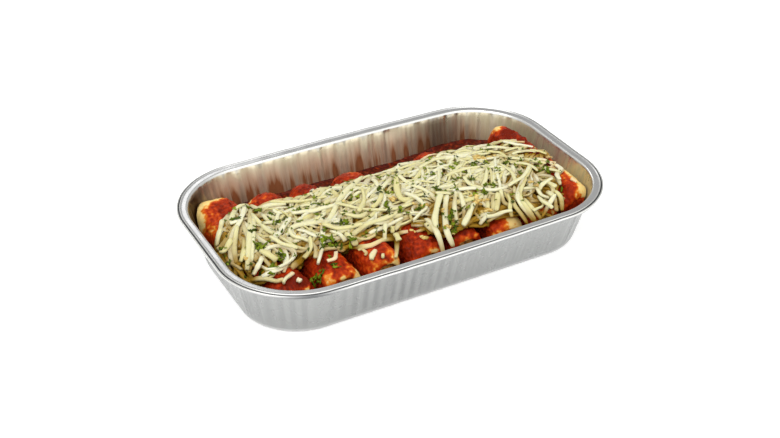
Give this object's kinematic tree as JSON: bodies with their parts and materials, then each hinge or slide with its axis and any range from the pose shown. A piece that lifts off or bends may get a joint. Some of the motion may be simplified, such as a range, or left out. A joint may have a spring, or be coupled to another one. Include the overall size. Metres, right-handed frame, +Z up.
{
  "type": "foil tray meal",
  "caption": "Rectangular foil tray with a flat rim, holding a row of filled tortilla rolls in red sauce under grated cheese and chopped herbs.",
  "frame": {"origin": "middle of the tray's flat base, on the surface it stands on", "axes": "+X along the tray's long side, +Y across it, +Z up out of its mouth"},
  "size_m": [0.3228, 0.1984, 0.0495],
  "materials": {
    "foil": "satin drawn foil with fine pleats",
    "tortilla": "tortilla under a thin uneven coat of red sauce",
    "filling": "soft shredded filling",
    "sauce": "glossy grainy tomato and chilli sauce",
    "cheese": "waxy grated cheese",
    "herb": "chopped fresh parsley leaf"
  },
  "bodies": {
    "root": {"tray": "foil", "sauce": "sauce", "tortilla_1": "tortilla", "tortilla_2": "tortilla", "tortilla_3": "tortilla", "tortilla_4": "tortilla", "tortilla_5": "tortilla", "tortilla_6": "tortilla", "tortilla_7": "tortilla", "tortilla_8": "tortilla", "filling_1": "filling", "filling_2": "filling", "filling_3": "filling", "filling_4": "filling", "filling_5": "filling", "filling_6": "filling", "filling_7": "filling", "filling_8": "filling", "cheese_heap": "cheese"}
  },
  "joints": []
}
